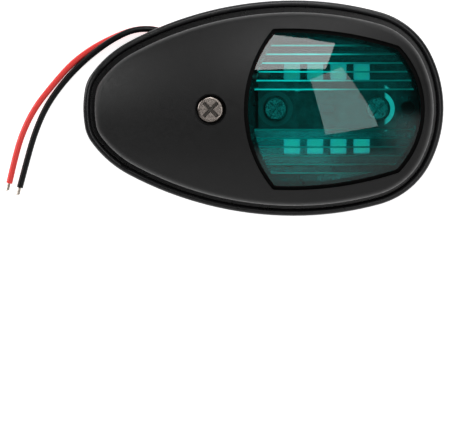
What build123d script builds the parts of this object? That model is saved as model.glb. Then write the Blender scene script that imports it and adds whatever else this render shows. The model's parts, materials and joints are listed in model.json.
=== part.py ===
from build123d import *
import os
from math import cos, pi, radians, sin, tan

# Teardrop navigation light. Millimetres, +Z out of the mounting face, +X towards the lens end.
# The origin is the middle of the length, on the mounting face.

# Overall outline, seen from the front
LENGTH = 115.0
WIDTH = 68.8
# Radius and turn in degrees of each arc, from the end on the centre line to the widest place.
# The last arc of each end takes its radius from the width.
LENS_END_ARCS = [(38.8, 27.0), (25.6, 47.5)]
NOSE_ARCS = [(33.7, 10.4), (11.7, 25.3), (34.9, 26.3)]

# Base plate and its bead rim
GASKET_T = 1.5
GASKET_INSET = 0.8
BEAD_W = 2.2
BEAD_ROUND = 0.46
BEAD_TOP = 8.2
LEDGE_TOP = 5.7
FLOOR_TOP = 4.0
WALL_INSET = 6.1
WALL_W = 1.5
WALL_TOP = 9.0
HULL_HOLE_R = 2.25
HULL_HOLE_X = [-38.0, 46.0]

# Cover: a crowned dome, every layer below it is a parallel shell
COVER_INSET = 3.85
COVER_T = 2.0
COVER_TOP = 31.0
SEAL_T = 0.8
SEAL_CLEAR = 0.2
COVER_BOTTOM = LEDGE_TOP + SEAL_T
CROWN_X = 14.0
CROWN_R_ALONG = 150.0
CROWN_R_ACROSS = 60.0
# Half the length of the barrel, enough to pass both ends
CROWN_REACH = 80.0
EDGE_R = 3.0
EDGE_R_LEAST = 0.5

# Window, lens and the seal between them
WINDOW_BACK_X = -6.2
WINDOW_FRONT_X = 50.8
WINDOW_BACK_R = 39.7
WINDOW_FRONT_R = 28.7
WINDOW_SIDE_R = 112.0
WINDOW_SIDE_PEAK = (8.0, 25.5)
WINDOW_CORNER_R = 1.2
WINDOW_GAP = 1.3
LENS_FLANGE = 3.2
LENS_SINK = 0.5
LENS_SEAL_SINK = 1.1
LENS_SEAL_T = 0.6
LENS_T = 2.0
LENS_SKIRT_Z = 15.0
CLEAR_BAND = 5.95
RIB_PITCH = 2.67
RIB_COUNT = 6
RIB_DEPTH = 1.4
RIB_VALLEY = 0.5
RIB_DRAFT = 0.4
RIB_BITE = 0.2
# How far the sawtooth profile reaches up into the lens before it is cut off
RIB_RISE = 2.0
RIB_MARGIN = 3.0
RIB_HALF_TURN = 15

# Cover screw in its well
SCREW_X = -16.7
WELL_R = 5.0
WELL_WALL = 1.6
WELL_DEPTH = 4.4
WELL_FLOOR = 2.4
POST_R = 4.5
SCREW_R = 2.0
HEAD_R = 4.15
HEAD_H = 2.6
SCREW_SHANK = 16.0
SCREW_SEAL_T = 0.8
SCREW_SEAL_R = 4.4
CLEAR_HOLE_R = 2.3
PILOT_GAP = 0.05
SCREW_GAP = 0.2
HEAD_ROUND = 0.25
# Cross recess as shares of the head's radius and of its own size
RECESS_SIZE = 1.5
RECESS_WIDTH = 0.18
RECESS_DEPTH = 0.22
RECESS_TAPER = 8

# Circuit board
BOARD_X = (-1.5, 42.0)
BOARD_W = 31.0
BOARD_T = 1.6
BOARD_BOTTOM = 10.5
BOARD_CORNER_R = 3.0
BOARD_SCREW_X = [3.9, 36.0]
BOARD_SCREW_R = 1.25
BOARD_HEAD_R = 3.6
BOARD_HEAD_H = 2.0
BOARD_POST_R = 3.2
BOARD_SCREW_SHANK = 7.0
LED_X = 9.1
LED_PITCH = 7.3
LED_COLUMNS = 4
LED_ROW_Y = 9.3
LED_SIZE = 5.0
LED_H = 1.6
LED_WINDOW_R = 2.1
LED_WINDOW_T = 0.6
LED_WINDOW_SINK = 0.1
LED_CORNER_R = 0.4
RESISTOR = (3.2, 1.6, 0.6)
RESISTOR_X = [12.7, 27.4]
RESISTOR_Y = [5.6, -5.6]
DIODE = (4.4, 2.7, 2.1)
DIODE_X = 20.2
DIODE_LEGS = 1.0
DIODE_CHAMFER = 0.3

# Wire recess under the base, grommet and wires
SLOT_START = (-16.0, 16.5)
SLOT_TURN = 154.6
SLOT_W = 6.0
SLOT_LENGTH = 32.0
SLOT_ROOF = 4.4
HUMP_WALL = 1.8
GROMMET_LENGTH = 5.0
GROMMET_GAP = 0.1
NECK_R = 2.2
FLANGE_R = 3.6
FLANGE_T = 1.2
WIRE_R = 1.0
TIP_R = 0.65
TIP_LENGTH = 2.7
LEAD_SPACING = 2.6
LEAD_TOP = 17.0
PAD_X = 1.2
RED_PAD_Y = 8.6
BLACK_PAD_Y = 12.2
SOLDER_H = 1.1
SOLDER_R = 1.6

# Routes of the two free wires, from the grommet to the end of the insulation
RED_ROUTE = [
    (-20.52, 18.64, 1.00), (-26.57, 21.52, 1.00), (-33.60, 25.25, 1.00), (-41.00, 25.30, 1.00),
    (-48.00, 22.60, 1.00), (-54.80, 19.10, 1.00), (-61.40, 14.20, 1.00), (-67.50, 7.30, 1.00),
    (-73.50, -0.30, 1.00), (-77.60, -8.90, 1.00), (-79.90, -17.20, 1.00), (-81.50, -24.20, 1.00),
]
BLACK_ROUTE = [
    (-20.52, 18.64, 3.20), (-26.57, 21.52, 3.20), (-33.60, 25.25, 3.20), (-41.00, 25.30, 3.20),
    (-47.30, 22.50, 3.20), (-53.20, 18.50, 2.60), (-59.00, 13.60, 1.60), (-64.80, 7.30, 1.20),
    (-69.80, 0.10, 1.00), (-73.40, -8.40, 1.00), (-75.90, -17.20, 1.00), (-78.10, -25.60, 1.00),
]
# Each bend takes this share of the shorter run beside it
ARC_SHARE = 0.45
LEAD_RISE = 3.0
GROMMET_CORNER_R = 0.6
# Well above the highest point, for cutting bodies
FAR_UP = 60.0


# ---------- outlines ----------

def arcs_to_widest(arcs):
    """Adds the arc that ends parallel to X at half the width."""
    height = 0.0
    turned = 0.0
    for radius, turn in arcs:
        height += radius * (sin(radians(turned + turn)) - sin(radians(turned)))
        turned += turn
    last = (WIDTH / 2 - height) / (1 - sin(radians(turned)))
    return arcs + [(last, 90 - turned)]


def arcs_length(arcs):
    """How far along X a run of arcs reaches from its end."""
    reach = 0.0
    turned = 0.0
    for radius, turn in arcs:
        reach += radius * (cos(radians(turned)) - cos(radians(turned + turn)))
        turned += turn
    return reach


def outline(inset):
    """The teardrop, moved inwards by inset, as a face."""
    lens_end = arcs_to_widest(LENS_END_ARCS)
    nose = arcs_to_widest(NOSE_ARCS)
    flat = LENGTH - arcs_length(lens_end) - arcs_length(nose)
    quarter_turns = [lens_end, nose[::-1], nose, lens_end[::-1]]
    x, y = LENGTH / 2 - inset, 0.0
    heading = 90.0
    edges = []
    for index, quarter in enumerate(quarter_turns):
        for radius, turn in quarter:
            r = radius - inset
            middle = (x - r * sin(radians(heading)), y + r * cos(radians(heading)))
            edges.append(CenterArc(middle, r, heading - 90, turn))
            heading += turn
            x = middle[0] + r * sin(radians(heading))
            y = middle[1] - r * cos(radians(heading))
        if index in (0, 2):
            step = flat * cos(radians(heading))
            edges.append(Line((x, y), (x + step, y)))
            x += step
    return make_face(edges)


def slab(face, bottom, top):
    return extrude(Pos(0, 0, bottom) * face, top - bottom)


def ring(outer_inset, inner_inset, bottom, top):
    return slab(outline(outer_inset), bottom, top) - slab(outline(inner_inset), bottom, top)


def window(grow):
    """The window's outline moved outwards by grow, where four large discs overlap."""
    back = Pos(WINDOW_BACK_X + WINDOW_BACK_R, 0) * Circle(WINDOW_BACK_R + grow)
    front_r = WINDOW_FRONT_R + grow
    front = Circle(front_r) + Pos(-LENGTH / 2, 0) * Rectangle(LENGTH, 2 * front_r)
    side_x, side_y = WINDOW_SIDE_PEAK
    face = back & Pos(WINDOW_FRONT_X - WINDOW_FRONT_R, 0) * front
    for side in (1, -1):
        face &= Pos(side_x, side * (side_y - WINDOW_SIDE_R)) * Circle(WINDOW_SIDE_R + grow)
    return fillet(face.vertices(), WINDOW_CORNER_R)


# ---------- the dome and its parallel shells ----------

def crown(depth):
    """A barrel about an axis along X, its top is the crown surface at this depth."""
    axis_z = COVER_TOP - CROWN_R_ACROSS
    radius = CROWN_R_ALONG - depth
    half = CROWN_REACH
    drop = CROWN_R_ALONG - CROWN_R_ACROSS
    side = (radius ** 2 - half ** 2) ** 0.5 - drop
    arc = ThreePointArc((CROWN_X - half, -side), (CROWN_X, drop - radius), (CROWN_X + half, -side))
    left, right = CROWN_X - half, CROWN_X + half
    frame = Polyline((right, -side), (right, 0), (left, 0), (left, -side))
    profile = Plane.XZ * make_face([arc, frame])
    return Pos(0, 0, axis_z) * revolve(profile, Axis.X)


def crown_z(x, y, depth=0.0):
    """Height of the crown surface above the mounting face."""
    along = ((CROWN_R_ALONG - depth) ** 2 - (x - CROWN_X) ** 2) ** 0.5
    radius = along - (CROWN_R_ALONG - CROWN_R_ACROSS)
    return COVER_TOP - CROWN_R_ACROSS + (radius ** 2 - y ** 2) ** 0.5


def dome(depth, bottom=COVER_BOTTOM):
    """Solid inside the cover's outer surface moved inwards by depth."""
    body = slab(outline(COVER_INSET + depth), bottom, FAR_UP) & crown(depth)
    top = body.faces().sort_by(Axis.Z)[-1]
    return fillet(top.edges(), max(EDGE_R - depth, EDGE_R_LEAST))


def cylinder(x, y, radius, bottom, top):
    return Pos(x, y, (bottom + top) / 2) * Cylinder(radius, top - bottom)


SEAT_Z = crown_z(SCREW_X, 0) - WELL_DEPTH
WELL_BOTTOM = SEAT_Z - WELL_FLOOR
HEAD_Z = SEAT_Z + SCREW_SEAL_T
UNDER_SEAL = COVER_T + LENS_SEAL_T
UNDER_LENS = UNDER_SEAL + LENS_T


def make_cover():
    shell = dome(0) - dome(COVER_T, GASKET_T)
    well = cylinder(SCREW_X, 0, WELL_R + WELL_WALL, WELL_BOTTOM, FAR_UP) & dome(0)
    cover = shell + well
    cover -= cylinder(SCREW_X, 0, WELL_R, SEAT_Z, FAR_UP)
    cover -= cylinder(SCREW_X, 0, CLEAR_HOLE_R, WELL_BOTTOM, FAR_UP)
    return cover - slab(window(0), GASKET_T, FAR_UP)


def make_lens_seal():
    inside = slab(window(-WINDOW_GAP), GASKET_T, FAR_UP)
    flange = (dome(COVER_T) - dome(UNDER_SEAL)) & slab(window(LENS_FLANGE), LENS_SKIRT_Z, FAR_UP)
    lip = (dome(LENS_SEAL_SINK) - dome(UNDER_SEAL)) & slab(window(0), LENS_SKIRT_Z, FAR_UP)
    return (flange + lip) - inside


def make_ribs(side):
    """Sawtooth bars along X under the lens, on one side of the clear band, bent to the crown's long arc."""
    edge = [(side * CLEAR_BAND, crown_z(CROWN_X, CLEAR_BAND, UNDER_LENS) - RIB_VALLEY)]
    for index in range(RIB_COUNT):
        tip = CLEAR_BAND + index * RIB_PITCH + RIB_DRAFT
        far = CLEAR_BAND + (index + 1) * RIB_PITCH
        edge.append((side * tip, crown_z(CROWN_X, tip, UNDER_LENS) - RIB_DEPTH))
        edge.append((side * far, crown_z(CROWN_X, far, UNDER_LENS) - RIB_VALLEY))
    near_side, near_z = edge[0]
    far_side, far_z = edge[-1]
    profile = make_face(Polyline(
        *edge, (far_side, far_z + RIB_RISE), (near_side, near_z + RIB_RISE), close=True))
    axis = Axis((CROWN_X, 0, COVER_TOP - CROWN_R_ALONG), (0, 1, 0))
    start = (Plane.YZ * profile).translate((CROWN_X, 0, 0)).rotate(axis, -RIB_HALF_TURN)
    return revolve(start, axis, 2 * RIB_HALF_TURN)


def make_lens():
    raised = dome(LENS_SINK) & slab(window(-WINDOW_GAP), LENS_SKIRT_Z, FAR_UP)
    flange = dome(UNDER_SEAL) & slab(window(LENS_FLANGE), LENS_SKIRT_Z, FAR_UP)
    lens = (raised + flange) - dome(UNDER_LENS, GASKET_T)
    region = slab(window(-RIB_MARGIN), LENS_SKIRT_Z, FAR_UP) & dome(UNDER_LENS - RIB_BITE, GASKET_T)
    for side in (1, -1):
        lens += make_ribs(side) & region
    return lens


# ---------- base plate ----------

def slot_point(along, across=0.0):
    turn = radians(SLOT_TURN)
    x = SLOT_START[0] + along * cos(turn) - across * sin(turn)
    y = SLOT_START[1] + along * sin(turn) + across * cos(turn)
    return x, y


def slot_block(start, end, width, bottom, top):
    """A block along the wire recess, between two distances from the recess's inner end."""
    x, y = slot_point((start + end) / 2)
    return Pos(x, y, (bottom + top) / 2) * Rot(0, 0, SLOT_TURN) * Box(end - start, width, top - bottom)


def hull_holes(top):
    return [cylinder(x, 0, HULL_HOLE_R, 0, top) for x in HULL_HOLE_X]


def make_base():
    bead = ring(0, BEAD_W, GASKET_T, BEAD_TOP)
    bead = fillet(bead.edges().group_by(Axis.Z)[-1], BEAD_W * BEAD_ROUND)
    base = bead + slab(outline(BEAD_W / 2), GASKET_T, FLOOR_TOP)
    base += ring(BEAD_W / 2, WALL_INSET + WALL_W, GASKET_T, LEDGE_TOP)
    base += ring(WALL_INSET, WALL_INSET + WALL_W, GASKET_T, WALL_TOP)
    hump = slot_block(-HUMP_WALL, SLOT_LENGTH, SLOT_W + 2 * HUMP_WALL, GASKET_T, LEDGE_TOP)
    base += hump & slab(outline(WALL_INSET), GASKET_T, LEDGE_TOP)
    base += cylinder(SCREW_X, 0, POST_R, GASKET_T, WELL_BOTTOM)
    base -= cylinder(SCREW_X, 0, SCREW_R + PILOT_GAP, HEAD_Z - SCREW_SHANK - 1, WELL_BOTTOM)
    for x in BOARD_SCREW_X:
        base += cylinder(x, 0, BOARD_POST_R, GASKET_T, BOARD_BOTTOM)
        base -= cylinder(x, 0, BOARD_SCREW_R + PILOT_GAP, FLOOR_TOP, BOARD_BOTTOM)
    for hole in hull_holes(FLOOR_TOP):
        base -= hole
    base -= slot_block(0, SLOT_LENGTH, SLOT_W, 0, SLOT_ROOF)
    neck_x, neck_y = slot_point(GROMMET_LENGTH / 2)
    return base - cylinder(neck_x, neck_y, NECK_R + PILOT_GAP, GASKET_T, LEDGE_TOP)


def make_gasket():
    gasket = slab(outline(GASKET_INSET), 0, GASKET_T)
    for hole in hull_holes(GASKET_T):
        gasket -= hole
    return gasket - slot_block(0, SLOT_LENGTH, SLOT_W, 0, GASKET_T)


def make_cover_seal():
    return ring(COVER_INSET + SEAL_CLEAR, COVER_INSET + COVER_T + SEAL_CLEAR, LEDGE_TOP, COVER_BOTTOM)


# ---------- screws ----------

def phillips_recess(x, y, top, size):
    """Crossed slots that narrow towards the bottom, turned 45 degrees."""
    width = size * RECESS_WIDTH
    cross = Rectangle(size, width) + Rectangle(width, size)
    face = Pos(x, y, top) * Rot(0, 0, 45) * cross
    return extrude(face, -size * RECESS_DEPTH, taper=RECESS_TAPER)


def pan_screw(x, y, under_head, head_r, head_h, shank_r, shank_l):
    head = cylinder(x, y, head_r, under_head, under_head + head_h)
    head = fillet(head.edges().sort_by(Axis.Z)[-1], head_h * HEAD_ROUND)
    shank = cylinder(x, y, shank_r, under_head - shank_l, under_head)
    shank = chamfer(shank.edges().sort_by(Axis.Z)[0], shank_r / 2)
    return head + shank - phillips_recess(x, y, under_head + head_h, head_r * RECESS_SIZE)


def make_cover_screw():
    return pan_screw(SCREW_X, 0, HEAD_Z, HEAD_R, HEAD_H, SCREW_R, SCREW_SHANK)


def make_screw_seal():
    disc = cylinder(SCREW_X, 0, SCREW_SEAL_R, SEAT_Z, HEAD_Z)
    return disc - cylinder(SCREW_X, 0, SCREW_R + PILOT_GAP, SEAT_Z, HEAD_Z)


def make_board_screws():
    top = BOARD_BOTTOM + BOARD_T
    return [pan_screw(x, 0, top, BOARD_HEAD_R, BOARD_HEAD_H, BOARD_SCREW_R, BOARD_SCREW_SHANK)
            for x in BOARD_SCREW_X]


# ---------- circuit board ----------

def block(x, y, length, width, bottom, height):
    return Pos(x, y, bottom + height / 2) * Box(length, width, height)


def make_board():
    start, end = BOARD_X
    face = Pos((start + end) / 2, 0) * RectangleRounded(end - start, BOARD_W, BOARD_CORNER_R)
    board = slab(face, BOARD_BOTTOM, BOARD_BOTTOM + BOARD_T)
    for x in BOARD_SCREW_X:
        board -= cylinder(x, 0, BOARD_SCREW_R + SCREW_GAP, BOARD_BOTTOM, BOARD_BOTTOM + BOARD_T)
    return board


def led_places():
    columns = [LED_X + index * LED_PITCH for index in range(LED_COLUMNS)]
    return [(x, row * LED_ROW_Y) for row in (1, -1) for x in columns]


def make_led_bodies():
    bottom = BOARD_BOTTOM + BOARD_T
    top = bottom + LED_H
    bodies = []
    for x, y in led_places():
        body = block(x, y, LED_SIZE, LED_SIZE, bottom, LED_H)
        body = fillet(body.edges().filter_by(Axis.Z), LED_CORNER_R)
        bodies.append(body - cylinder(x, y, LED_WINDOW_R, top - LED_WINDOW_T, top))
    return bodies


def make_led_windows():
    top = BOARD_BOTTOM + BOARD_T + LED_H
    bottom = top - LED_WINDOW_T
    return [cylinder(x, y, LED_WINDOW_R, bottom, top - LED_WINDOW_SINK) for x, y in led_places()]


def make_resistors():
    length, width, height = RESISTOR
    top = BOARD_BOTTOM + BOARD_T
    return [block(x, y, length, width, top, height) for x in RESISTOR_X for y in RESISTOR_Y]


def make_diode():
    length, width, height = DIODE
    bottom = BOARD_BOTTOM + BOARD_T
    body = block(DIODE_X, 0, length, width, bottom, height)
    body = chamfer(body.edges().group_by(Axis.Z)[-1], DIODE_CHAMFER)
    return body + block(DIODE_X, 0, length + DIODE_LEGS, width / 2, bottom, height / 4)


def make_solder():
    middle = BOARD_BOTTOM + BOARD_T + SOLDER_H / 2
    return [Pos(PAD_X, y, middle) * Cone(SOLDER_R, WIRE_R, SOLDER_H) for y in (RED_PAD_Y, BLACK_PAD_Y)]


# ---------- grommet and wires ----------

def make_grommet():
    """An elbow: the wires come out of its side below the base and out of its top inside."""
    inner = slot_block(GROMMET_GAP, GROMMET_LENGTH, SLOT_W - 2 * GROMMET_GAP, GROMMET_GAP, SLOT_ROOF)
    inner = fillet(inner.edges().filter_by(Axis.Z), GROMMET_CORNER_R)
    x, y = slot_point(GROMMET_LENGTH / 2)
    neck = cylinder(x, y, NECK_R, SLOT_ROOF, LEDGE_TOP)
    flange = cylinder(x, y, FLANGE_R, LEDGE_TOP, LEDGE_TOP + FLANGE_T)
    flange = fillet(flange.edges().sort_by(Axis.Z)[-1], FLANGE_T / 3)
    return inner + neck + flange


def route_radii(route):
    radii = []
    for before, here, after in zip(route, route[1:], route[2:]):
        first = Vector(*here) - Vector(*before)
        second = Vector(*after) - Vector(*here)
        half_turn = radians(first.get_angle(second)) / 2
        radii.append(ARC_SHARE * min(first.length, second.length) / tan(half_turn))
    return radii


def wire_tube(name, route):
    """A round tube along straight runs joined by tangent arcs."""
    radii = route_radii(route)
    path = FilletPolyline(*route, radius=radii)
    start = Plane(origin=path @ 0, z_dir=path % 0)
    tube = sweep(start * Circle(WIRE_R), path=path)
    expected = pi * WIRE_R ** 2 * path.length
    print(f"{name}: length {path.length:.1f}, volume {tube.volume:.2f}, section x length {expected:.2f}")
    print("  radii", [round(radius, 1) for radius in radii])
    return tube


def wire_tip(route):
    end = Vector(*route[-1])
    along = (end - Vector(*route[-2])).normalized()
    return extrude(Plane(origin=end, z_dir=along) * Circle(TIP_R), TIP_LENGTH)


def lead_route(across, pad_y):
    x, y = slot_point(GROMMET_LENGTH / 2, across)
    foot = LEDGE_TOP + FLANGE_T
    pad_top = BOARD_BOTTOM + BOARD_T + SOLDER_H
    half_x = (x + PAD_X) / 2
    half_y = (y + pad_y) / 2
    return [(x, y, foot), (x, y, LEAD_TOP - LEAD_RISE), (half_x, half_y, LEAD_TOP),
            (PAD_X, pad_y, LEAD_TOP - LEAD_RISE / 4), (PAD_X, pad_y, pad_top)]


# ---------- export ----------

def export(name, shapes):
    shape = Compound(children=list(shapes)) if isinstance(shapes, list) else shapes
    export_step(shape, f"parts/{name}.step")


os.makedirs("parts", exist_ok=True)
export("mounting_gasket", make_gasket())
export("base_plate", make_base())
export("cover_seal", make_cover_seal())
export("cover", make_cover())
export("lens_seal", make_lens_seal())
export("lens", make_lens())
export("cover_screw", make_cover_screw())
export("screw_seal", make_screw_seal())
export("circuit_board", make_board())
export("board_screws", make_board_screws())
export("led_bodies", make_led_bodies())
export("led_windows", make_led_windows())
export("board_resistors", make_resistors())
export("polarity_diode", make_diode())
export("solder_joints", make_solder())
export("wire_grommet", make_grommet())
export("red_wire", wire_tube("red_wire", RED_ROUTE))
export("black_wire", wire_tube("black_wire", BLACK_ROUTE))
export("red_wire_tip", wire_tip(RED_ROUTE))
export("black_wire_tip", wire_tip(BLACK_ROUTE))
export("red_lead", wire_tube("red_lead", lead_route(LEAD_SPACING / 2, RED_PAD_Y)))
export("black_lead", wire_tube("black_lead", lead_route(-LEAD_SPACING / 2, BLACK_PAD_Y)))
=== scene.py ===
import json
import math

import bpy
from mathutils import Matrix, Vector


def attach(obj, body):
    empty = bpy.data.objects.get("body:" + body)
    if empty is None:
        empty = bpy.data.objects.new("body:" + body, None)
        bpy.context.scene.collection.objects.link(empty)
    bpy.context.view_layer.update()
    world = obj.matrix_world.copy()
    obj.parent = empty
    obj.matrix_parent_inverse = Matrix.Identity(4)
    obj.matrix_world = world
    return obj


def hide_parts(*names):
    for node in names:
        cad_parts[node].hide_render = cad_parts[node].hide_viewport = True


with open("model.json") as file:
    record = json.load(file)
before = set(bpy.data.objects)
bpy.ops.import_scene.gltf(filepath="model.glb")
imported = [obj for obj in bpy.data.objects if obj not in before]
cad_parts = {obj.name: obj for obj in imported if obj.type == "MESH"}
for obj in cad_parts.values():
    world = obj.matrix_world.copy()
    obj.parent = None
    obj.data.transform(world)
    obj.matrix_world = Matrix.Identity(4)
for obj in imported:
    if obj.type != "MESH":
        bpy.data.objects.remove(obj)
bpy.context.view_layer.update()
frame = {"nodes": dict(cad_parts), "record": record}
nodes = frame["nodes"]

# Routes of the two free wires, in metres
RED_ROUTE = [
    (-0.02052, 0.01864, 0.00100), (-0.02657, 0.02152, 0.00100), (-0.03360, 0.02525, 0.00100),
    (-0.04100, 0.02530, 0.00100), (-0.04800, 0.02260, 0.00100), (-0.05480, 0.01910, 0.00100),
    (-0.06140, 0.01420, 0.00100), (-0.06750, 0.00730, 0.00100), (-0.07350, -0.00030, 0.00100),
    (-0.07760, -0.00890, 0.00100), (-0.07990, -0.01720, 0.00100), (-0.08150, -0.02420, 0.00100),
]
BLACK_ROUTE = [
    (-0.02052, 0.01864, 0.00320), (-0.02657, 0.02152, 0.00320), (-0.03360, 0.02525, 0.00320),
    (-0.04100, 0.02530, 0.00320), (-0.04730, 0.02250, 0.00320), (-0.05320, 0.01850, 0.00260),
    (-0.05900, 0.01360, 0.00160), (-0.06480, 0.00730, 0.00120), (-0.06980, 0.00010, 0.00100),
    (-0.07340, -0.00840, 0.00100), (-0.07590, -0.01720, 0.00100), (-0.07810, -0.02560, 0.00100),
]
WIRE_D = 0.0020

# Colours of the steep sides of the lens ribs, which are opaque: a painted highlight that stands for
# light caught in the rib edges, where it shows most, and painted shade, where least
RIB_HIGHLIGHT_COLOUR = (0.12, 0.98, 0.92)
RIB_SHADE_COLOUR = (0.02, 0.22, 0.20)
# The painted highlight fades into painted shade from the first X to the second, and is a little darker
# with painted shade on the near side
RIB_SHADE_X = (0.014, 0.032)
NEAR_SHADE = 0.2
NEAR_EDGE = 0.001
# How far a face must lean along Y to count as steep, and where the ribs end
RIB_LEAN = (0.78, 0.84)
RIBS_END_Y = (0.0225, 0.0215)
# The ribbed faces are a little rough outside the polished band in the middle
BAND_EDGE_Y = (0.0054, 0.0060)
RIB_ROUGH = 0.14
POLISH = (0.0, 0.012)
POLISH_CLOUDS = 0.01
LENS_IOR = 1.5
# The top of the lens: its X and Z, and how much it curves down along X and across it
LENS_CROWN = (0.014, 0.031)
CURVE_ALONG = 1 / 0.300
CURVE_ACROSS = 1 / 0.120
# The tint of the outer face, which ends this far under that crown, and of the faces below
OUTER_TINT = ((0.0002, 0.42, 0.395), (0.0004, 0.46, 0.43))
INNER_TINT = (0.86, 0.98, 0.97)
TINT_DEPTH = 0.0018
TINT_EDGE = 0.0002
TINT_CLOUDS = 0.02

# The board's pads round its screws: the screw's X, where the pale part starts from there, and its grey.
# The first is a dull grey pad all round; the second is a painted highlight, pale only on its lens-end
# side, that stands for light caught there
PADS = [(0.0039, -0.007, 0.10), (0.0360, 0.0020, 0.92)]
PAD_INSIDE = 0.0040
PAD_OUTSIDE = 0.0056
PAD_EDGE = 0.0002
PAD_START = 0.001
PAD_WARMTH = 0.96
# The pale strip between the LED rows, and the copper tracks under the solder mask
STRIP_EDGE_Y = (0.0066, 0.0056)
STRIP_COLOURS = ((0.03, 0.034, 0.032), (0.085, 0.09, 0.086))
TRACKS_PER_METRE = 130
TRACK_GAP = 0.05
TRACK_COLOURS = ((0.012, 0.013, 0.013), (0.018, 0.019, 0.019))
TRACK_GAP_COLOUR = (0.035, 0.038, 0.036)
TRACK_STRENGTH = 0.3
TRACK_DEPTH = 0.00003
STRIP_CLOUDS = 0.003
MASK_SMEARS = 0.001
MASK_ROUGH = (0.35, 0.5)
MASK_SPECULAR = 0.12

# The cover screw's cross recess, which is darkened with painted shade: its X, the height of its rim and
# how far it reaches from X
COVER_SCREW_RECESS = (-0.0167, 0.0268, 0.0033)
RECESS_SHADE_COLOUR = (0.11, 0.10, 0.09)
# The painted shade in the recess darkens between these depths under its rim
RECESS_SHADE = (0.0001, 0.0009)
RECESS_EDGE = 0.0001

# Where the viewer stands and what the middle of the view shows
CAMERA_AT = Vector((-0.005, 0.030, 1.400))
CAMERA_AIM = Vector((-0.0124, -0.0371, 0.005))
VIEW_WIDTH = 0.1437
SENSOR = 36.0
NEAREST = 0.05
FARTHEST = 20


# ---------- camera and cords ----------

def facing(place, back, roll=0.0):
    """The matrix of a camera or lamp at place with its back to back, turned by roll about that line."""
    back = back.normalized()
    right = Vector((0, 1, 0)).cross(back).normalized()
    up = back.cross(right)
    turned = right * math.cos(roll) + up * math.sin(roll)
    axes = Matrix((turned, back.cross(turned), back)).transposed()
    return Matrix.Translation(place) @ axes.to_4x4()


def make_camera():
    """A camera as wide as VIEW_WIDTH at the place it aims at."""
    data = bpy.data.cameras.new("camera")
    camera = bpy.data.objects.new("camera", data)
    bpy.context.scene.collection.objects.link(camera)
    away = CAMERA_AT - CAMERA_AIM
    data.sensor_width = SENSOR
    data.lens = SENSOR * away.length / VIEW_WIDTH
    data.clip_start = NEAREST
    data.clip_end = FARTHEST
    camera.matrix_world = facing(CAMERA_AT, away)
    bpy.context.scene.camera = camera


ROUND_STEPS = 6
LONG_STEPS = 16


def make_curve(name, routes, radius):
    """One round cord along each route."""
    curve = bpy.data.curves.new(name, "CURVE")
    curve.dimensions = "3D"
    curve.bevel_depth = radius
    curve.bevel_resolution = ROUND_STEPS
    curve.resolution_u = LONG_STEPS
    curve.use_fill_caps = True
    for route in routes:
        spline = curve.splines.new("NURBS")
        spline.points.add(len(route) - 1)
        for point, place in zip(spline.points, route):
            point.co = (*place, 1.0)
        spline.order_u = 3
        spline.use_endpoint_u = True
    piece = bpy.data.objects.new(name, curve)
    bpy.context.scene.collection.objects.link(piece)
    return piece


STRANDS = 7
STRAND_R = 0.00014
STRAND_LAY = 0.00034
STRAND_TWIST = 2.2
STRAND_FLARE = 0.25
STRAND_UNEVEN = 0.1
STRAND_PHASE = 5
TIP_LENGTH = 0.0027
TIP_STEPS = 8


def make_strands(name, route):
    """A loose twist of bare strands that goes on from the end of a wire."""
    end = Vector(route[-1])
    along = (end - Vector(route[-2])).normalized()
    side = along.cross(Vector((0, 0, 1))).normalized()
    up = side.cross(along)
    routes = []
    for strand in range(STRANDS):
        ring = 0 if strand == 0 else STRAND_LAY
        start = 2 * math.pi * strand / (STRANDS - 1)
        reach = TIP_LENGTH * (1 - STRAND_UNEVEN + STRAND_UNEVEN * math.sin(STRAND_PHASE * strand))
        points = []
        for step in range(TIP_STEPS):
            share = step / (TIP_STEPS - 1)
            turn = start + STRAND_TWIST * share
            spread = ring * (1 + STRAND_FLARE * share)
            place = end + along * (reach * share)
            place += side * (spread * math.cos(turn)) + up * (spread * math.sin(turn))
            points.append(tuple(place))
        routes.append(points)
    return make_curve(name, routes, STRAND_R)


def make_wire(colour, route, materials):
    """One free wire with its bare strands."""
    wire = make_curve(f"{colour}_wire_free", [route], WIRE_D / 2)
    wire.data.materials.append(materials[f"wire_{colour}"])
    strands = make_strands(f"{colour}_strands", route)
    strands.data.materials.append(materials["tinned_copper"])
    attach(wire, "base")
    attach(strands, "base")
    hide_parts(f"{colour}_wire")
    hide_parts(f"{colour}_wire_tip")


# ---------- materials ----------

NOISE_MIDDLE = (0.3, 0.7)


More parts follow.
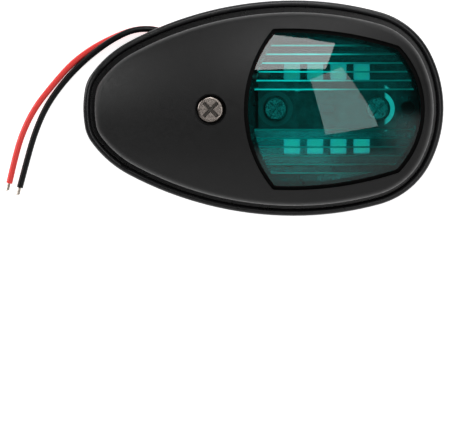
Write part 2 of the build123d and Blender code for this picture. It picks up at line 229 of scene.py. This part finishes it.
class Nodes:
    """A material's node tree, with short ways to add what the materials here share."""

    def __init__(self, name):
        self.material = bpy.data.materials.new(name)
        self.material.use_nodes = True
        self.tree = self.material.node_tree
        self.shader = self.tree.nodes["Principled BSDF"]
        self.place = self.tree.nodes.new("ShaderNodeTexCoord").outputs["Object"]

    @classmethod
    def of_world(cls, world):
        world.use_nodes = True
        nodes = cls.__new__(cls)
        nodes.tree = world.node_tree
        nodes.place = nodes.tree.nodes.new("ShaderNodeTexCoord").outputs["Generated"]
        return nodes

    def link(self, source, target):
        self.tree.links.new(source, target)

    def set(self, **values):
        for name, value in values.items():
            self.shader.inputs[name.replace("_", " ")].default_value = value

    def noise(self, size, detail=3.0, stretch=(1, 1, 1)):
        """Noise whose features are about size metres wide."""
        mapping = self.tree.nodes.new("ShaderNodeMapping")
        mapping.inputs["Scale"].default_value = stretch
        texture = self.tree.nodes.new("ShaderNodeTexNoise")
        texture.inputs["Scale"].default_value = 1 / size
        texture.inputs["Detail"].default_value = detail
        self.link(self.place, mapping.inputs["Vector"])
        self.link(mapping.outputs["Vector"], texture.inputs["Vector"])
        return texture.outputs["Fac"]

    def spread(self, value, low, high):
        """Maps the middle of a noise to the range from low to high."""
        node = self.tree.nodes.new("ShaderNodeMapRange")
        node.inputs["From Min"].default_value = NOISE_MIDDLE[0]
        node.inputs["From Max"].default_value = NOISE_MIDDLE[1]
        node.inputs["To Min"].default_value = low
        node.inputs["To Max"].default_value = high
        self.link(value, node.inputs["Value"])
        return node.outputs["Result"]

    def mix(self, share, first, second):
        """A colour between the first and the second."""
        node = self.tree.nodes.new("ShaderNodeMix")
        node.data_type = "RGBA"
        self.link(share, node.inputs["Factor"])
        for socket, colour in ((node.inputs["A"], first), (node.inputs["B"], second)):
            if isinstance(colour, tuple):
                socket.default_value = (*colour, 1.0)
            else:
                self.link(colour, socket)
        return node.outputs["Result"]

    def math(self, operation, *values):
        node = self.tree.nodes.new("ShaderNodeMath")
        node.operation = operation
        for socket, value in zip(node.inputs, values):
            if isinstance(value, (int, float)):
                socket.default_value = value
            else:
                self.link(value, socket)
        return node.outputs["Value"]

    def axes(self, vector):
        """The X, Y and Z of a vector."""
        node = self.tree.nodes.new("ShaderNodeSeparateXYZ")
        self.link(vector, node.inputs["Vector"])
        return node.outputs

    def square(self, value):
        return self.math("POWER", value, 2)

    def distance(self, along, across):
        """How far a place is from an upright line, from its offsets to that line along X and Y."""
        return self.math("SQRT", self.math("ADD", self.square(along), self.square(across)))

    def ramp(self, value, start, end):
        """0 before start, 1 after end, smooth between them."""
        node = self.tree.nodes.new("ShaderNodeMapRange")
        node.interpolation_type = "SMOOTHSTEP"
        node.inputs["From Min"].default_value = start
        node.inputs["From Max"].default_value = end
        self.link(value, node.inputs["Value"])
        return node.outputs["Result"]

    def bump(self, height, strength, distance):
        node = self.tree.nodes.new("ShaderNodeBump")
        node.inputs["Strength"].default_value = strength
        node.inputs["Distance"].default_value = distance
        self.link(height, node.inputs["Height"])
        self.link(node.outputs["Normal"], self.shader.inputs["Normal"])

    def colour(self, output):
        self.link(output, self.shader.inputs["Base Color"])

    def roughness(self, output):
        self.link(output, self.shader.inputs["Roughness"])


CLOUDS = 0.006
SMEARS = 0.0012
GRAIN_STRENGTH = 0.35
GRAIN_DETAIL = 2.0
# Metal: its patches of colour, then the size and stretch of its smears and of its brush lines
METAL_PATCHES = 0.0009
BRUSH_SMEARS = (0.0005, (1, 8, 1))
BRUSH_LINES = (0.00012, (1, 6, 1))
BRUSH_STRENGTH = 0.25
BRUSH_DEPTH = 0.00002
ZINC_COLOURS = ((0.01, 0.01, 0.01), (0.34, 0.34, 0.33))
ZINC_ROUGH = (0.25, 0.45)
ZINC_SMEARS = 0.0005
CRYSTALS = 0.0004
CRYSTAL_STRENGTH = 0.6
CRYSTAL_DEPTH = 0.00008


def moulded_plastic(name, dark, light, rough, grain, depth, specular=0.5):
    """Plastic or rubber with soft clouds of colour and a moulded grain of this size and depth."""
    n = Nodes(name)
    n.set(Specular_IOR_Level=specular)
    n.colour(n.mix(n.noise(CLOUDS), dark, light))
    n.roughness(n.spread(n.noise(SMEARS), *rough))
    n.bump(n.noise(grain, detail=GRAIN_DETAIL), GRAIN_STRENGTH, depth)
    return n.material


def steel(name, dark, light, rough, recess=None):
    """Brushed metal; recess is the place of a cross recess, darkened with painted shade: X, Z of the
    rim, and its reach from X.
    """
    n = Nodes(name)
    n.set(Metallic=1.0)
    colour = n.mix(n.noise(METAL_PATCHES), dark, light)
    if recess:
        x, rim_z, reach = recess
        place = n.axes(n.place)
        away = n.distance(n.math("SUBTRACT", place["X"], x), place["Y"])
        rim, floor = RECESS_SHADE
        sunk_shade = n.ramp(place["Z"], rim_z - rim, rim_z - floor)
        near = n.ramp(away, reach + RECESS_EDGE, reach)
        # Painted shade in the cross recess
        colour = n.mix(n.math("MULTIPLY", sunk_shade, near), colour, RECESS_SHADE_COLOUR)
    n.colour(colour)
    smears, smear_stretch = BRUSH_SMEARS
    lines, line_stretch = BRUSH_LINES
    n.roughness(n.spread(n.noise(smears, stretch=smear_stretch), *rough))
    n.bump(n.noise(lines, stretch=line_stretch), BRUSH_STRENGTH, BRUSH_DEPTH)
    return n.material


def zinc():
    """Dull zinc plating with small bright crystals."""
    n = Nodes("zinc_plated")
    n.set(Metallic=1.0)
    crystals = n.noise(CRYSTALS)
    n.colour(n.mix(n.spread(crystals, 0, 1), *ZINC_COLOURS))
    n.roughness(n.spread(n.noise(ZINC_SMEARS), *ZINC_ROUGH))
    n.bump(crystals, CRYSTAL_STRENGTH, CRYSTAL_DEPTH)
    return n.material


def lens_glass():
    """Green plastic, tinted at its outer face; the steep sides of the ribs under it are opaque and
    coloured as a painted highlight, with painted shade towards the lens end and on the near side.
    """
    n = Nodes("lens_glass")
    normal = n.tree.nodes.new("ShaderNodeNewGeometry").outputs["True Normal"]
    place = n.axes(n.place)
    across = n.math("ABSOLUTE", place["Y"])

    # The steep rib sides carry a painted highlight, darkened with painted shade towards the lens end
    # and on the near side
    steep = n.ramp(n.math("ABSOLUTE", n.axes(normal)["Y"]), *RIB_LEAN)
    rib_highlight_mask = n.math("MULTIPLY", steep, n.ramp(across, *RIBS_END_Y))
    near_side = n.math("MULTIPLY", n.ramp(place["Y"], NEAR_EDGE, -NEAR_EDGE), NEAR_SHADE)
    rib_shade = n.math("MAXIMUM", near_side, n.ramp(place["X"], *RIB_SHADE_X))
    rib_highlight = n.mix(rib_shade, RIB_HIGHLIGHT_COLOUR, RIB_SHADE_COLOUR)

    crown_x, crown_z = LENS_CROWN
    fall_along = n.math("MULTIPLY", n.square(n.math("SUBTRACT", place["X"], crown_x)), CURVE_ALONG)
    fall_across = n.math("MULTIPLY", n.square(place["Y"]), CURVE_ACROSS)
    height = n.math("ADD", place["Z"], n.math("ADD", fall_along, fall_across))
    depth = n.math("SUBTRACT", crown_z, height)
    inner = n.ramp(depth, TINT_DEPTH - TINT_EDGE, TINT_DEPTH + TINT_EDGE)
    glass = n.mix(inner, n.mix(n.noise(TINT_CLOUDS), *OUTER_TINT), INNER_TINT)
    n.colour(n.mix(rib_highlight_mask, glass, rib_highlight))

    ribbed = n.math("MULTIPLY", inner, n.ramp(across, *BAND_EDGE_Y))
    polished = n.spread(n.noise(POLISH_CLOUDS), *POLISH)
    n.roughness(n.math("ADD", polished, n.math("MULTIPLY", ribbed, RIB_ROUGH)))
    n.set(IOR=LENS_IOR)
    n.link(n.math("SUBTRACT", 1.0, rib_highlight_mask), n.shader.inputs["Transmission Weight"])
    return n.material


def board_tracks(n):
    """Copper tracks that show faintly through the dark solder mask."""
    tracks = n.tree.nodes.new("ShaderNodeTexBrick")
    tracks.inputs["Scale"].default_value = TRACKS_PER_METRE
    tracks.inputs["Mortar Size"].default_value = TRACK_GAP
    for socket, colour in zip(("Color1", "Color2", "Mortar"), (*TRACK_COLOURS, TRACK_GAP_COLOUR)):
        tracks.inputs[socket].default_value = (*colour, 1)
    n.link(n.place, tracks.inputs["Vector"])
    return tracks


def board_mask():
    """Dark solder mask with a paler strip between the LED rows and pads at the screws: a dull grey pad
    at the first, and a painted highlight on the lens-end side of the second.
    """
    n = Nodes("board_mask")
    place = n.axes(n.place)
    strip = n.ramp(n.math("ABSOLUTE", place["Y"]), *STRIP_EDGE_Y)
    tracks = board_tracks(n)
    pale = n.mix(n.spread(n.noise(STRIP_CLOUDS), 0, 1), *STRIP_COLOURS)
    colour = n.mix(strip, tracks.outputs["Color"], pale)
    for x, bare_or_lit_from, grey_or_highlight in PADS:
        along = n.math("SUBTRACT", place["X"], x)
        away = n.distance(along, place["Y"])
        outside = n.ramp(away, PAD_INSIDE, PAD_INSIDE + PAD_EDGE)
        inside = n.ramp(away, PAD_OUTSIDE, PAD_OUTSIDE - PAD_EDGE)
        bare_or_lit = n.ramp(along, bare_or_lit_from, bare_or_lit_from + PAD_START)
        pad = n.math("MULTIPLY", n.math("MULTIPLY", outside, inside), bare_or_lit)
        # At the second screw the pad is a painted highlight on its lens-end side only
        colour = n.mix(pad, colour, (grey_or_highlight, grey_or_highlight, PAD_WARMTH * grey_or_highlight))
    n.colour(colour)
    n.set(Specular_IOR_Level=MASK_SPECULAR)
    n.roughness(n.spread(n.noise(MASK_SMEARS), *MASK_ROUGH))
    n.bump(tracks.outputs["Fac"], TRACK_STRENGTH, TRACK_DEPTH)
    return n.material


def make_materials():
    """Every material by the name of the slot it fills."""
    return {
        "base_black": moulded_plastic("base_black", (0.008, 0.008, 0.009), (0.011, 0.011, 0.012),
                                      (0.26, 0.34), 0.0004, 0.00001),
        "cover_black": moulded_plastic("cover_black", (0.012, 0.012, 0.0122), (0.016, 0.016, 0.0162),
                                       (0.38, 0.50), 0.00035, 0.00006, specular=0.3),
        "rubber_black": moulded_plastic("rubber_black", (0.003, 0.003, 0.003), (0.005, 0.005, 0.005),
                                        (0.55, 0.7), 0.0003, 0.00003, specular=0.06),
        "lens_green": lens_glass(),
        "stainless": steel("stainless", (0.22, 0.185, 0.17), (0.54, 0.48, 0.43), (0.20, 0.34),
                           recess=COVER_SCREW_RECESS),
        "zinc_plated": zinc(),
        "board_white": board_mask(),
        "led_white": moulded_plastic("led_white", (0.50, 0.51, 0.51), (0.58, 0.59, 0.59),
                                     (0.3, 0.4), 0.0004, 0.00001),
        "led_phosphor": moulded_plastic("led_phosphor", (0.60, 0.59, 0.50), (0.68, 0.66, 0.56),
                                        (0.12, 0.2), 0.0006, 0.00002),
        "chip_black": moulded_plastic("chip_black", (0.012, 0.012, 0.012), (0.02, 0.02, 0.02),
                                      (0.4, 0.55), 0.0002, 0.00002),
        "solder": steel("solder", (0.60, 0.60, 0.60), (0.75, 0.75, 0.74), (0.18, 0.3)),
        "wire_red": moulded_plastic("wire_red", (0.95, 0.046, 0.040), (0.99, 0.062, 0.052),
                                    (0.28, 0.36), 0.0009, 0.00002),
        "wire_black": moulded_plastic("wire_black", (0.004, 0.004, 0.0045), (0.006, 0.006, 0.007),
                                      (0.28, 0.36), 0.0009, 0.00002, specular=0.2),
        "tinned_copper": steel("tinned_copper", (0.60, 0.50, 0.42), (0.80, 0.76, 0.70), (0.22, 0.35)),
    }


def finish_cad_nodes(materials):
    """Gives each part its material and smooth shading."""
    # Lamp light reaches the board through the lens
    nodes["lens"].visible_shadow = False
    for entry in frame["record"]["subparts"]:
        piece = nodes[entry["node"]]
        for place in piece.material_slots:
            place.material = materials[entry["material_slot"]]
        for polygon in piece.data.polygons:
            polygon.use_smooth = True


# ---------- studio ----------

FLOOR_SIZE = 3.0
# Just under the back of the lamp, so that the two faces don't lie in one plane
FLOOR_Z = -0.0001
FLOOR_CLOUDS = 0.4
FLOOR_ROUGH = 0.9
FLOOR_GLOW = 0.85
FLOOR_COLOURS = ((0.80, 0.80, 0.80), (0.82, 0.82, 0.82))
# Half the length and width of the oval under the lamp where the floor is dark with painted shadow and
# doesn't glow, and its soft edge
SHADOW_OVAL = (0.054, 0.030)
SHADOW_OVAL_EDGE = (0.85, 1.0)
PAINTED_SHADOW_COLOUR = (0.02, 0.02, 0.02)

# The faint glow round the studio: its strength, and the directions between which it fades in
VEIL = 0.6
WORLD_LEAST = 0.03
NEAR_GLOW_Y = (-0.36, -0.56)
LENS_GLOW_X = (0.30, 0.44)
LENS_GLOW_Y = (0.0, -0.2)

# Soft boxes: name, place, direction of the back, roll in degrees, size and radiance
SOFT_BOXES = [
    ("box_overhead", (0.156, 0.126, 0.98), (0.777, -0.269, 0.57), 26.6, (0.27, 0.77), 2.4),
    ("box_back", (-0.023, 0.672, 0.994), (-0.743, 0.426, 0.516), 20.1, (0.60, 0.42), 6.2),
    ("box_far", (0.40, 1.25, 0.55), (0.40, 1.25, 0.55), 0, (1.30, 0.30), 4.0),
    ("box_nose", (-1.20, 0.40, 0.55), (-1.20, 0.40, 0.55), 0, (0.90, 0.60), 3.6),
]


def make_floor():
    """A wide pale floor that glows faintly, except under the lamp, where a dark oval is painted shadow.
    """
    mesh = bpy.data.meshes.new("floor")
    half = FLOOR_SIZE / 2
    corners = [(x * half, y * half, FLOOR_Z) for x, y in ((-1, -1), (1, -1), (1, 1), (-1, 1))]
    mesh.from_pydata(corners, [], [(0, 1, 2, 3)])
    floor = bpy.data.objects.new("floor", mesh)
    bpy.context.scene.collection.objects.link(floor)
    n = Nodes("floor")
    place = n.axes(n.place)
    along = n.square(n.math("DIVIDE", place["X"], SHADOW_OVAL[0]))
    across = n.square(n.math("DIVIDE", place["Y"], SHADOW_OVAL[1]))
    clear_of_painted_shadow = n.ramp(n.math("ADD", along, across), *SHADOW_OVAL_EDGE)
    pale = n.mix(n.noise(FLOOR_CLOUDS), *FLOOR_COLOURS)
    # Painted shadow: a dark oval under the lamp
    n.colour(n.mix(clear_of_painted_shadow, PAINTED_SHADOW_COLOUR, pale))
    n.set(Roughness=FLOOR_ROUGH, Emission_Color=(1, 1, 1, 1))
    n.link(n.math("MULTIPLY", clear_of_painted_shadow, FLOOR_GLOW), n.shader.inputs["Emission Strength"])
    mesh.materials.append(n.material)


def soft_box(name, place, back, roll, size, radiance):
    """A rectangular area lamp whose power gives this radiance."""
    data = bpy.data.lights.new(name, "AREA")
    data.shape = "RECTANGLE"
    data.size, data.size_y = size
    data.energy = radiance * math.pi * size[0] * size[1]
    light = bpy.data.objects.new(name, data)
    bpy.context.scene.collection.objects.link(light)
    light.matrix_world = facing(Vector(place), Vector(back), math.radians(roll))


def make_world():
    """Dark overhead, with a faint wide glow on the near side and at the lens end."""
    world = bpy.data.worlds.new("world")
    bpy.context.scene.world = world
    n = Nodes.of_world(world)
    direction = n.axes(n.place)
    near_side = n.ramp(direction["Y"], *NEAR_GLOW_Y)
    toward_lens = n.ramp(direction["X"], *LENS_GLOW_X)
    lens_side = n.math("MULTIPLY", toward_lens, n.ramp(direction["Y"], *LENS_GLOW_Y))
    lit = n.math("MAXIMUM", near_side, lens_side)
    strength = n.math("ADD", n.math("MULTIPLY", lit, VEIL), WORLD_LEAST)
    background = n.tree.nodes["Background"]
    background.inputs["Color"].default_value = (1.0, 1.0, 1.0, 1)
    n.link(strength, background.inputs["Strength"])


def make_studio():
    make_floor()
    make_world()
    for box in SOFT_BOXES:
        soft_box(*box)
    bpy.context.scene.view_settings.view_transform = "Standard"


make_camera()
materials = make_materials()
make_wire("red", RED_ROUTE, materials)
make_wire("black", BLACK_ROUTE, materials)
finish_cad_nodes(materials)
make_studio()
